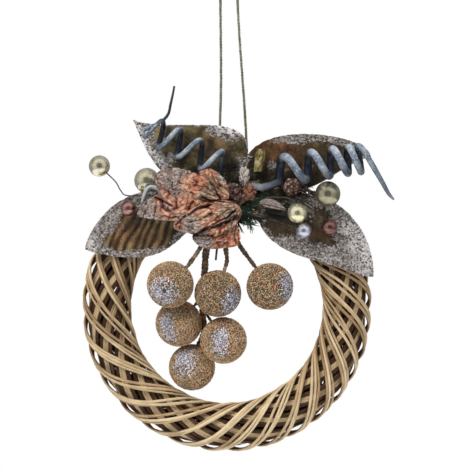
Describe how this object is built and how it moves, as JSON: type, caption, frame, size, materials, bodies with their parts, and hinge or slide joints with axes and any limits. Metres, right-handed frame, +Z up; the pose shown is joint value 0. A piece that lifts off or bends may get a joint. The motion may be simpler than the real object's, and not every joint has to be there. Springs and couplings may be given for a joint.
{
  "type": "christmas door wreath",
  "caption": "Small woven ring wreath on a cord loop, with leaves, a copper bloom, coiled tendrils, glass beads and a bunch of grain-covered balls hung in the ring.",
  "frame": {"origin": "top of the hanging cord's loop", "axes": "+Z up, the front with the spray faces -Y, +X to the right seen from the front"},
  "size_m": [0.1858, 0.0537, 0.2798],
  "materials": {
    "woven_rod": "bark-covered rods, varnished satin",
    "inner_rod": "dark unfinished rods",
    "cord": "twisted lurex cord, matt",
    "frosted_cloth": "stiffened dark cloth with a glittered border",
    "pale_cloth": "stiffened pale cloth, frosted",
    "gold_cloth": "stiffened gold cloth",
    "copper_cloth": "crumpled metallic cloth",
    "pine_needles": "short plastic needles",
    "frosted_tendril": "frosted pale blue",
    "grain": "foam covered in coarse glitter grains",
    "wrapped_wire": "paper-wrapped wire",
    "gold_glass": "mirrored gold glass",
    "cream_glass": "mirrored pale gold glass",
    "silver_glass": "mirrored silver glass",
    "copper_glass": "mirrored copper-pink glass",
    "bead_wire": "dark thin wire",
    "dried_pod": "dry brown pod with pink grains"
  },
  "bodies": {
    "root": {"ring_strand_1": "woven_rod", "ring_strand_2": "woven_rod", "ring_strand_3": "woven_rod", "ring_strand_4": "woven_rod", "ring_strand_5": "woven_rod", "ring_strand_6": "woven_rod", "ring_strand_7": "woven_rod", "ring_inner_strand_1": "inner_rod", "ring_inner_strand_2": "inner_rod", "ring_inner_strand_3": "inner_rod", "ring_inner_strand_4": "inner_rod", "ring_inner_strand_5": "inner_rod", "ring_inner_strand_6": "inner_rod", "hanging_cord": "cord", "leaf_lower_left": "frosted_cloth", "leaf_lower_right": "frosted_cloth", "leaf_upper_left": "frosted_cloth", "leaf_upper_right": "frosted_cloth", "leaf_small_pale": "pale_cloth", "leaf_gold_roll": "gold_cloth", "bloom_petal_left": "copper_cloth", "bloom_petal_upper_left": "copper_cloth", "bloom_petal_upper_right": "copper_cloth", "bloom_petal_lower": "copper_cloth", "bloom_petal_centre": "copper_cloth", "pine_sprig": "pine_needles", "tendril_right": "frosted_tendril", "tendril_left": "frosted_tendril", "tendril_stub": "frosted_tendril", "foam_ball_a": "grain", "foam_ball_b": "grain", "foam_ball_c": "grain", "foam_ball_d": "grain", "foam_ball_e": "grain", "foam_ball_f": "grain", "ball_stem_a": "wrapped_wire", "ball_stem_b": "wrapped_wire", "ball_stem_c": "wrapped_wire", "ball_stem_d": "wrapped_wire", "ball_stem_e": "wrapped_wire", "ball_stem_f": "wrapped_wire", "bead_gold_far_left": "gold_glass", "bead_gold_left": "gold_glass", "bead_copper_left": "copper_glass", "bead_gold_right": "gold_glass", "bead_cream_right": "cream_glass", "bead_silver_right": "silver_glass", "bead_copper_right": "copper_glass", "bead_wire_gold_far_left": "bead_wire", "bead_wire_gold_left": "bead_wire", "bead_wire_copper_left": "bead_wire", "bead_wire_gold_right": "bead_wire", "bead_wire_cream_right": "bead_wire", "bead_wire_silver_right": "bead_wire", "bead_wire_copper_right": "bead_wire", "dried_pod": "dried_pod", "wire_end": "bead_wire"}
  },
  "joints": []
}
